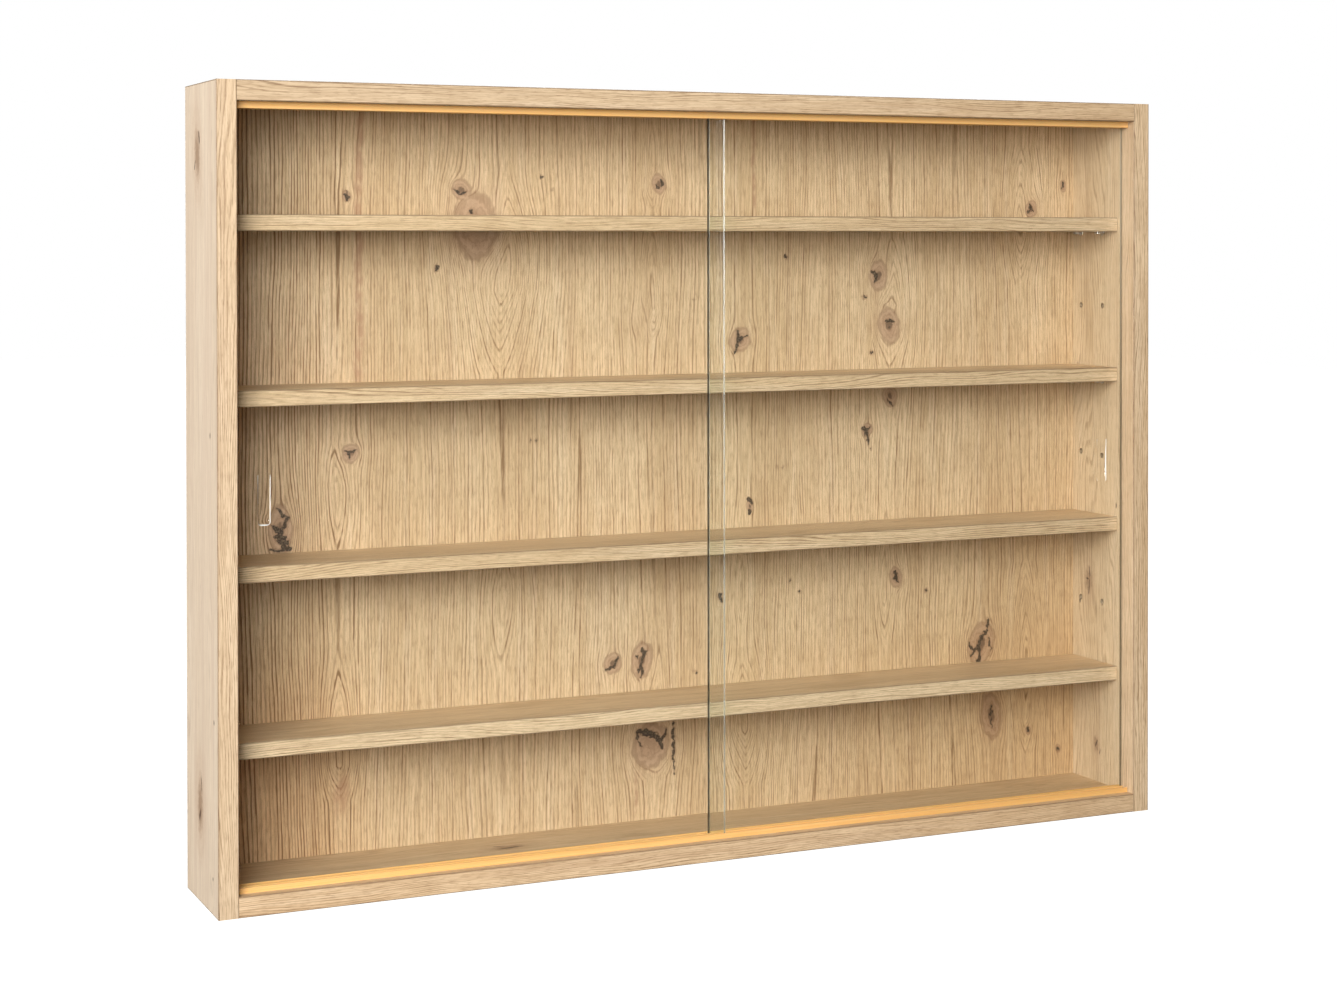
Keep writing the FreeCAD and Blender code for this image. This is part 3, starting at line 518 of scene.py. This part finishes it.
def back_extra(t, base, u, v, s):
    ratio, crack, stain = t.attribute("knot_ratio"), t.attribute("crack_mm"), t.attribute("stain")
    c = t.xyz()
    wob = t.noise(t.join(t.mul(c[0], 1 / 2.6), t.mul(c[2], 1 / 3.6)), 1.0, 3.0, 0.62)
    wob2 = t.noise(t.join(t.mul(c[0], 1 / 6.0), t.mul(c[2], 1 / 9.0)), 1.0, 2.0, 0.55)
    r = t.add(ratio, t.mad(wob2, 0.55, -0.275))
    base = t.mix(t.mul(t.mul(stain, t.mad(wob2, 0.9, 0.15)), 0.62), base, PINK)
    # long reddish streaks beside the left hand knots
    for sx, half, lo, hi in ((-266.8, 3.4, -205.0, 40.0), (71.1, 1.6, -60.0, 40.0), (-36.0, 1.5, -545.0, -498.0), (-282.0, 6.0, -520.0, -476.0)):
        sway = t.noise(t.join(t.mul(c[2], 1 / 38), sx), 1.0, 2.0, 0.5)
        off = t.math("ABSOLUTE", t.sub(t.mad(sway, 9.0, c[0]), sx + 4.5))
        band = t.mul(t.step(off, half * 1.5, half * 0.3), t.mul(t.step(c[2], lo, lo + 18), t.step(c[2], hi, hi - 18)))
        base = t.mix(t.mul(band, t.step(wob2, 0.25, 0.65, 0.25, 0.75)), base, (0.400, 0.225, 0.130))
    inside = t.step(r, 1.10, 0.82)
    rings = t.math("SINE", t.mul(t.add(r, t.mul(wob, 0.16)), 21.0))
    body = t.mix(t.step(r, 1.0, 0.1), (0.50, 0.335, 0.215), (0.395, 0.245, 0.150))
    body = t.mix(t.step(rings, 0.1, 0.95, 0.0, 0.45), body, KNOT)
    body = t.mix(t.step(wob, 0.55, 0.75, 0.0, 0.5), body, KNOT)
    base = t.mix(t.mul(inside, 0.85), base, body)
    rim = t.mul(t.step(r, 1.22, 1.04), t.step(r, 0.86, 1.0))
    base = t.mix(t.mul(rim, 0.50), base, KNOT)
    core = t.step(t.add(ratio, t.mad(wob, 0.5, -0.25)), 0.42, 0.22)
    base = t.mix(t.mul(core, 0.72), base, (0.10, 0.06, 0.038))
    edge = t.add(crack, t.mad(wob, 1.5, -0.80))
    soft = t.step(edge, 1.7, 0.0)
    base = t.mix(t.mul(soft, 0.55), base, KNOT)
    hard = t.step(edge, 0.38, -0.10)
    pits = t.noise(t.join(t.mul(c[0], 1 / 1.1), t.mul(c[2], 1 / 1.5)), 1.0, 2.0, 0.6)
    ink = t.mix(t.step(pits, 0.46, 0.66), BLACK, (0.150, 0.110, 0.070))
    base = t.mix(t.mul(hard, 0.93), base, ink)
    # painted shade: warmer and darker low down at both sides, the colour of the shadows there; paler at mid height on
    # the left
    for lo, hi, za, zb, shade_hue in ((-60.0, 330.0, -220.0, -500.0, (0.90, 0.84, 0.75)), (-230.0, -340.0, -320.0, -480.0, (0.99, 0.88, 0.79))):
        base = t.mix(t.mul(t.step(c[0], lo, hi), t.step(c[2], za, zb)), base, t.mix(1.0, base, shade_hue, "MULTIPLY"))
    pale = t.mul(t.step(c[0], -230.0, -330.0), t.mul(t.step(c[2], -60.0, -140.0), t.step(c[2], -370.0, -300.0)))
    base = t.mix(pale, base, t.mix(1.0, base, (1.13, 1.13, 1.17), "MULTIPLY"))
    # the rear face is bare fibreboard
    back = t.step(c[1], -1.6, -1.2)
    fibre = t.noise(t.join(t.mul(c[0], 0.35), t.mul(c[2], 0.35)), 1.0, 4.0, 0.7)
    speck = t.noise(t.join(t.mul(c[0], 1.1), t.mul(c[2], 1.1)), 1.0, 2.0, 0.6)
    bare = t.mix(t.step(fibre, 0.35, 0.68), (0.300, 0.190, 0.100), (0.390, 0.260, 0.150))
    bare = t.mix(t.step(speck, 0.60, 0.72, 0.0, 0.5), bare, (0.215, 0.130, 0.068))
    base = t.mix(back, base, bare)
    return base, back


back = make_back_panel()
back.data.materials.clear()
back.data.materials.append(oak("back_oak_decor", 2, 0, 5.0, phase=lambda t: t.attribute("grain_phase"), extra=back_extra, rough=0.50, contrast=1.42, patch=0.40, tint=(1.04, 1.05, 1.07)))

# ============================================================ boards, shelves and edging
def drift(lo, hi, low, high):
    """A slow change of tone from one end of a board to the other."""
    def extra(t, base, u, v, s):
        return t.mix(1.0, base, t.mix(t.step(t.xyz()[0], lo, hi, smooth=False), low, high), "MULTIPLY"), None
    return extra


# the left side's outer face carries a painted sheen, paler and bluer
assign(["left_side_panel"], oak("left_side_oak", 2, 1, 1.0, face=(0, -392.5, 7.5), contrast=0.9, rough=0.42, patch=0.9, outer_sheen=(-1, (1.10, 1.19, 1.40)),
       knots=[(-38.0, -10.0, 9.0, 22.0, -1, 0.1, False), (-44.0, 2.0, 2.0, 7.0, -1, 0.2, True), (-30.0, -18.0, 1.4, 6.0, -1, -0.3, True), (-84.4, -418.7, 1.3, 2.6, -1, 0.0, True), (-42.0, -487.0, 9.0, 24.0, -1, 0.0, False), (-41.0, -494.3, 2.6, 6.5, -1, -0.35, True), (-46.0, -470.0, 1.2, 9.0, -1, 0.1, True), (-80.0, -531.8, 1.5, 2.0, -1, 0.0, True), (-74.9, -213.6, 1.5, 3.2, -1, 0.0, True)]))
assign(["right_side_panel"], oak("right_side_oak", 2, 1, 2.0, face=(0, 392.5, 7.5), tint=(0.84, 0.85, 0.88), contrast=0.9, rough=0.42, patch=0.9,
       knots=RIGHT_KNOTS))
assign(["top_panel"], oak("top_oak", 0, 1, 3.0, face=(2, 34.5, 7.5), knots=[(-45.0, 120.0, 6.0, 16.0, 1, 0.1, False), (-45.0, 120.0, 1.6, 7.0, 1, 0.2, True), (-60.0, -210.0, 4.0, 9.0, 1, 0.0, False)]))
assign(["bottom_panel"], oak("bottom_oak", 0, 1, 4.0, extra=drift(-300.0, 380.0, (1.05, 1.07, 1.10), (0.96, 0.94, 0.90)), face=(2, -550.5, 7.5), tint=(0.93, 0.915, 0.90), contrast=0.7,
       knots=[(-41.4, -160.5, 7.0, 17.0, 1, 0.1, False), (-42.5, -158.0, 1.5, 13.0, 1, 0.15, True), (-36.0, -166.0, 1.1, 6.0, 1, -0.3, True), (-50.0, 210.0, 5.0, 12.0, -1, 0.0, False)]))
for k in (1, 2, 3, 4):
    lo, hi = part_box("shelf_%d" % k)
    mid = (lo.z + hi.z) / 2 / MM
    assign(["shelf_%d" % k], oak("shelf_%d_oak" % k, 0, 1, 10.0 + k, face=(2, mid, 6.0), tint=(0.965, 0.955, 0.94), contrast=0.6, rough=0.40, spacing=3.4))
    assign(["shelf_%d_edging" % k], oak("shelf_%d_edge_oak" % k, 0, 2, 20.0 + k, borders=((2, mid - 6.0), (2, mid + 6.0)), tint=(1.11, 1.12, 1.16), contrast=1.25, spacing=1.75, fine=1.0, patch=0.5))
assign(["left_side_edging"], oak("left_edge_oak", 2, 0, 31.0, borders=((0, -400.0), (0, -385.0)), tint=(0.96, 0.99, 1.07), contrast=1.2, spacing=1.8, patch=0.5))
assign(["right_side_edging"], oak("right_edge_oak", 2, 0, 32.0, borders=((0, 400.0), (0, 385.0)), tint=(1.03, 1.04, 1.07), contrast=1.2, spacing=1.8, patch=0.5))
assign(["top_edging"], oak("top_edge_oak", 0, 2, 33.0, extra=drift(-400.0, 400.0, (0.84, 0.86, 0.88), (1.06, 1.08, 1.08)), borders=((2, 42.0), (2, 27.0)), tint=(0.96, 0.95, 0.97), contrast=1.2, spacing=1.8, patch=0.5))
assign(["bottom_edging"], oak("bottom_edge_oak", 0, 2, 34.0, borders=((2, -558.0), (2, -543.0)), tint=(1.00, 0.98, 0.98), contrast=1.2, spacing=1.8, patch=0.5))


# ============================================================ plastic, metal, beech
def plastic():
    t = Tree("honey_plastic")
    c = t.xyz()
    draw = t.noise(t.join(t.mul(c[0], 1 / 260), t.mul(t.add(c[1], c[2]), 1 / 0.55)), 1.0, 3.0, 0.6)
    blotch = t.noise(t.join(t.mul(c[0], 1 / 55), t.mul(c[1], 1 / 20)), 1.0, 2.0, 0.5)
    base = t.mix(t.step(draw, 0.3, 0.7), (0.780, 0.440, 0.145), (0.860, 0.530, 0.215))
    base = t.mix(t.step(blotch, 0.45, 0.75, 0.0, 0.3), base, (0.86, 0.50, 0.19))
    # darker and greyer towards the right end of the lower track
    darker_to_right = t.mul(t.step(c[0], -60.0, 330.0), t.step(c[2], -200.0, -300.0))
    base = t.mix(darker_to_right, base, t.mix(1.0, base, (0.87, 0.86, 0.81), "MULTIPLY"))
    dust = t.noise(t.join(t.mul(c[0], 1 / 3.0), t.mul(c[1], 1 / 1.5)), 1.0, 3.0, 0.7)
    base = t.mix(t.step(dust, 0.62, 0.80, 0.0, 0.18), base, (0.62, 0.36, 0.13))
    t.surface(base, t.mad(draw, 0.14, 0.27), t.bump(draw, 0.05, 0.5), IOR=1.50, Subsurface_Weight=0.12, Subsurface_Radius=(0.9, 0.45, 0.12), Subsurface_Scale=0.002)
    return t.mat


def metal(name, color, rough, brushed=(1.0, 1.0, 1.0)):
    t = Tree(name)
    c = t.xyz()
    fine = t.noise(t.join(t.mul(c[0], brushed[0]), t.mul(c[1], brushed[1]), t.mul(c[2], brushed[2])), 2.2, 3.0, 0.65, dims="3D")
    wide = t.noise(t.join(c[0], c[1], c[2]), 0.16, 3.0, 0.6, dims="3D")
    base = t.mix(t.step(wide, 0.35, 0.70), color, tuple(x * 0.74 for x in color))
    base = t.mix(t.step(fine, 0.55, 0.75, 0.0, 0.35), base, tuple(x * 0.55 for x in color))
    t.surface(base, t.mad(fine, 0.22, rough), t.bump(fine, 0.03, 0.6), Metallic=1.0)
    return t.mat


def beech():
    t = Tree("raw_beech")
    c = t.xyz()
    grain = t.noise(t.join(t.mul(c[0], 1 / 12), t.mul(c[1], 1 / 0.7), t.mul(c[2], 1 / 0.7)), 1.0, 3.0, 0.6, dims="3D")
    fleck = t.noise(t.join(t.mul(c[0], 1 / 2.2), t.mul(c[1], 1 / 0.35), t.mul(c[2], 1 / 0.35)), 1.0, 1.0, 0.5, dims="3D")
    base = t.mix(t.step(grain, 0.3, 0.7), (0.60, 0.40, 0.235), (0.70, 0.50, 0.32))
    base = t.mix(t.step(fleck, 0.6, 0.72, 0, 0.5), base, (0.40, 0.23, 0.12))
    t.surface(base, t.mad(grain, 0.1, 0.6), t.bump(grain, 0.06, 0.5))
    return t.mat


assign(["top_track", "bottom_track"], plastic())
zinc_plated = metal("zinc_plated_steel", (0.70, 0.70, 0.68), 0.26)
assign(["left_hanger_plate", "right_hanger_plate"], metal("hanger_steel", (0.66, 0.66, 0.655), 0.30, (3.0, 3.0, 0.12)))
assign(["shelf_%d_supports" % k for k in (1, 2, 3, 4)], zinc_plated)
assign(["hanger_screws", "back_panel_nails", "cam_bolts"], metal("bright_steel", (0.62, 0.61, 0.59), 0.30))
assign(["cam_locks"], metal("cast_zinc", (0.50, 0.50, 0.51), 0.40, (0.6, 0.6, 0.6)))
assign(["wooden_dowels"], beech())


# ============================================================ glass doors
def glass(name, color, rough, pass_through):
    """Clear glass that lets the lamps' light through to what stands behind it."""
    t = Tree(name)
    p = t.new("ShaderNodeBsdfPrincipled")
    p.inputs["Base Color"].default_value = (*color, 1.0)
    p.inputs["Transmission Weight"].default_value = 1.0
    p.inputs["IOR"].default_value = 1.50
    p.inputs["Roughness"].default_value = rough
    tr = t.new("ShaderNodeBsdfTransparent")
    tr.inputs[0].default_value = (*pass_through, 1.0)
    lp = t.new("ShaderNodeLightPath")
    m = t.new("ShaderNodeMixShader")
    either = t.math("MAXIMUM", lp.outputs["Is Shadow Ray"], lp.outputs["Is Diffuse Ray"])
    t.nt.links.new(either, m.inputs[0])
    t.nt.links.new(p.outputs[0], m.inputs[1])
    t.nt.links.new(tr.outputs[0], m.inputs[2])
    t.nt.links.new(m.outputs[0], t.out.inputs[0])
    return t.mat


PANE = glass("clear_float_glass", (0.975, 0.99, 0.982), 0.0, (0.965, 0.98, 0.972))
EDGE = glass("ground_glass_edge", (0.60, 0.76, 0.69), 0.30, (0.80, 0.90, 0.85))


def ground_glass():
    """The wheel-ground walls of the finger recess: milky, with fine wheel marks."""
    t = Tree("ground_recess_glass")
    c = t.xyz()
    marks = t.noise(t.join(t.mul(c[0], 1 / 1.2), t.mul(c[2], 1 / 0.35)), 1.0, 3.0, 0.6)
    t.surface(t.mix(marks, (0.93, 0.95, 0.94), (0.84, 0.87, 0.855)), t.mad(marks, 0.15, 0.32), t.bump(marks, 0.02, 0.5), IOR=1.5, Transmission_Weight=0.35)
    return t.mat


def painted_shade_edge():
    """The stile edge that stands against the side board: painted shade of the narrow gap there, dull, dark and nearly
    opaque, painted paler towards the top.
    """
    t = Tree("painted_shade_glass_edge")
    c = t.xyz()
    marks = t.noise(t.join(t.mul(c[0], 1 / 0.5), t.mul(c[2], 1 / 6.0)), 1.0, 3.0, 0.6)
    low = t.mix(marks, (0.125, 0.092, 0.052), (0.195, 0.148, 0.088))
    t.surface(t.mix(t.step(c[2], -260.0, 10.0, 0.0, 0.85), low, (0.330, 0.275, 0.195)), 0.75, Specular_IOR_Level=0.1)
    return t.mat


GROUND = ground_glass()
PAINTED_SHADE_EDGE = painted_shade_edge()


def make_door(node, body, pull_from_left):
    """A pane with small ground chamfers all round and a finger recess ground into its front face."""
    lo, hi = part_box(node)
    x0, x1, y0, y1, z0, z1 = lo.x, hi.x, lo.y, hi.y, lo.z, hi.z
    ch = 0.4 * MM
    w, h, deep = 9.5 * MM, 38.0 * MM, 2.1 * MM
    inset = 15.8 * MM
    px0 = x0 + inset if pull_from_left else x1 - inset - w
    pz0 = (298.0 - 558.0) * MM - h / 2
    wall_w, foot = (0.45, -0.474) if pull_from_left else (0.36, -1.0)
    bm = bmesh.new()

    def ring(ix, y, iz):
        return [bm.verts.new(p) for p in ((x0 + ix, y, z0 + iz), (x1 - ix, y, z0 + iz), (x1 - ix, y, z1 - iz), (x0 + ix, y, z1 - iz))]

    f_in, f_out = ring(ch, y0, ch), ring(0, y0 + ch, 0)
    b_out, b_in = ring(0, y1 - ch, 0), ring(ch, y1, ch)
    for a, b in ((f_in, f_out), (f_out, b_out), (b_out, b_in)):
        for i in range(4):
            j = (i + 1) % 4
            bm.faces.new((a[i], b[i], b[j], a[j])).material_index = 1
    bm.faces.new(b_in)
    # recess: depth runs out gently at the top and short at the foot, with rounded upright walls
    nx, nz = 44, 120
    prof_f = np.array([-0.5, -0.455, -0.385, -0.30, -0.16, 0.03, 0.21, 0.36, 0.5])
    prof_d = np.array([0.0, 0.50, 0.90, 1.0, 0.86, 0.63, 0.40, 0.20, 0.0])
    if not pull_from_left:
        prof_d = np.array([0.0, 0.14, 0.36, 0.62, 0.86, 0.72, 0.48, 0.22, 0.0])
    patch = []
    for j in range(nz + 1):
        f = j / nz - 0.5
        # smooth the profile a little
        d = sum(np.interp(f + o, prof_f, prof_d) for o in (-0.02, -0.01, 0.0, 0.01, 0.02)) / 5 if abs(f) < 0.5 else 0.0
        row = []
        for i in range(nx + 1):
            a = i / nx
            edge = min(a, 1 - a) * w / MM
            wall = min(1.0, edge / 1.15)
            wall = 1 - (1 - wall) ** 2.4
            end = min(f + 0.5, 0.5 - f) * h / MM
            turn = 3.0 if f < 0 else 2.0
            pinch = 2 * (turn - math.sqrt(max(turn ** 2 - (turn - end) ** 2, 0.0))) * MM if end < turn else 0.0
            row.append(bm.verts.new((px0 + w / 2 + (a - 0.5) * (w - pinch), y0 + deep * d * wall, pz0 + (f + 0.5) * h)))
        patch.append(row)
    for j in range(nz):
        for i in range(nx):
            face = bm.faces.new((patch[j][i], patch[j][i + 1], patch[j + 1][i + 1], patch[j + 1][i]))
            face.smooth = True
            a, f = (i + 0.5) / nx, (j + 0.5) / nz - 0.5
            if min(a, 1 - a) * w / MM < wall_w and abs(f) < 0.47 or f < foot:
                face.material_index = 2
    bottom, top = patch[0], patch[-1]
    left, right = [r[0] for r in patch], [r[-1] for r in patch]
    bm.faces.new([f_in[0], f_in[1]] + bottom[::-1])
    bm.faces.new([f_in[1], f_in[2]] + right[::-1])
    bm.faces.new([f_in[2], f_in[3]] + top)
    bm.faces.new([f_in[3], f_in[0]] + left)
    bmesh.ops.recalc_face_normals(bm, faces=bm.faces)
    bmesh.ops.triangulate(bm, faces=[f for f in bm.faces if len(f.verts) > 4])
    # the stile edge against the side board gets the painted shade of the gap
    stile = x0 if pull_from_left else x1
    for f in bm.faces:
        if f.material_index == 1 and abs(f.calc_center_median().x - stile) < 0.5 * MM:
            f.material_index = 3
    mesh = bpy.data.meshes.new(node + "_pane")
    bm.to_mesh(mesh)
    bm.free()
    obj = bpy.data.objects.new(node + "_pane", mesh)
    bpy.context.scene.collection.objects.link(obj)
    mesh.materials.append(PANE)
    for m in (EDGE, GROUND, PAINTED_SHADE_EDGE):
        mesh.materials.append(m)
    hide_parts(node)
    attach(obj, body)
    return obj


make_door("left_glass_door", "left_door", True)
make_door("right_glass_door", "right_door", False)

# ============================================================ stage, light, camera
sc = bpy.context.scene
sc.view_settings.view_transform = "Standard"
sc.view_settings.look = "None"
sc.view_settings.exposure = 0.0


def floor():
    bm = bmesh.new()
    n, size = 12, 24.0
    near, far = 1.2, 40.0
    v = [[bm.verts.new((-size + 2 * size * i / n, near + (far - near) * j / n, -2.10)) for i in range(n + 1)] for j in range(n + 1)]
    for j in range(n):
        for i in range(n):
            bm.faces.new((v[j][i], v[j][i + 1], v[j + 1][i + 1], v[j + 1][i]))
    m = bpy.data.meshes.new("pale_floor")
    bm.to_mesh(m)
    bm.free()
    o = bpy.data.objects.new("pale_floor", m)
    sc.collection.objects.link(o)
    t = Tree("pale_floor")
    p = t.surface((0.60, 0.60, 0.60), 0.95)
    p.inputs["Emission Color"].default_value = (1, 1, 1, 1)
    p.inputs["Emission Strength"].default_value = 0.95
    m.materials.append(t.mat)
    o.visible_diffuse = False
    o.visible_glossy = False


floor()


def area(name, loc, aim, size, watts, color=(1, 1, 1)):
    l = bpy.data.lights.new(name, "AREA")
    l.shape = "RECTANGLE"
    l.size, l.size_y = size
    l.energy = watts
    l.color = color
    o = bpy.data.objects.new(name, l)
    o.location = loc
    o.rotation_euler = (Vector(aim) - Vector(loc)).to_track_quat("-Z", "Y").to_euler()
    sc.collection.objects.link(o)
    return o


area("key", (-1.80, -2.32, 0.50), (0.0, 0.0, -0.26), (1.8, 1.5), 127.0, (1.0, 0.985, 0.965))
area("left_fill", (-3.0, -0.9, 0.35), (-0.35, 0.0, -0.26), (1.2, 1.4), 38.0, (0.93, 0.975, 1.0))
area("back_light", (1.3, 2.3, 1.7), (0.0, 0.0, -0.26), (1.6, 1.4), 95.0, (1.0, 0.99, 0.97))

world = bpy.data.worlds.new("studio")
sc.world = world
world.use_nodes = True
wn = world.node_tree
wn.nodes.clear()
wo = wn.nodes.new("ShaderNodeOutputWorld")
lp = wn.nodes.new("ShaderNodeLightPath")
bg_seen, bg_lit, wm = wn.nodes.new("ShaderNodeBackground"), wn.nodes.new("ShaderNodeBackground"), wn.nodes.new("ShaderNodeMixShader")
bg_seen.inputs[0].default_value, bg_seen.inputs[1].default_value = (1, 1, 1, 1), 1.0
bg_lit.inputs[1].default_value = 0.36
wtc, wsep, wmap = wn.nodes.new("ShaderNodeTexCoord"), wn.nodes.new("ShaderNodeSeparateXYZ"), wn.nodes.new("ShaderNodeValToRGB")
wn.links.new(wtc.outputs["Generated"], wsep.inputs[0])
wn.links.new(wsep.outputs[2], wmap.inputs[0])
els = wmap.color_ramp.elements
els[0].position, els[0].color = 0.0, (0.30, 0.255, 0.195, 1.0)
els[1].position, els[1].color = 0.75, (1.0, 0.93, 0.83, 1.0)
dim = wn.nodes.new("ShaderNodeMapRange")
wn.links.new(lp.outputs["Is Glossy Ray"], dim.inputs[0])
dim.inputs[3].default_value, dim.inputs[4].default_value = 0.36, 0.10
wn.links.new(dim.outputs[0], bg_lit.inputs[1])
wn.links.new(wmap.outputs[0], bg_lit.inputs[0])
wn.links.new(lp.outputs["Is Camera Ray"], wm.inputs[0])
wn.links.new(bg_lit.outputs[0], wm.inputs[1])
wn.links.new(bg_seen.outputs[0], wm.inputs[2])
wn.links.new(wm.outputs[0], wo.inputs[0])

cam = bpy.data.cameras.new("camera")
cam.sensor_fit, cam.sensor_width = "HORIZONTAL", 36.0
cam.lens = 2387.31 / 1337 * 36.0
cam.shift_x = (668.5 - 665.39) / 1337
cam.shift_y = (266.09 - 501.0) / 1337
cam.clip_start, cam.clip_end = 0.05, 60.0
co = bpy.data.objects.new("camera", cam)
sc.collection.objects.link(co)
yaw, pitch, roll = (math.radians(a) for a in (24.3234, 0.5999, -0.0541))
f = Vector((math.sin(yaw) * math.cos(pitch), math.cos(yaw) * math.cos(pitch), -math.sin(pitch)))
r = Vector((math.cos(yaw), -math.sin(yaw), 0.0))
u = r.cross(f)
r2 = math.cos(roll) * r + math.sin(roll) * u
u2 = -math.sin(roll) * r + math.cos(roll) * u
m = Matrix((r2, u2, -f)).transposed().to_4x4()
m.translation = Vector((-0.80807, -1.77305, -0.07373))
co.matrix_world = m
sc.camera = co

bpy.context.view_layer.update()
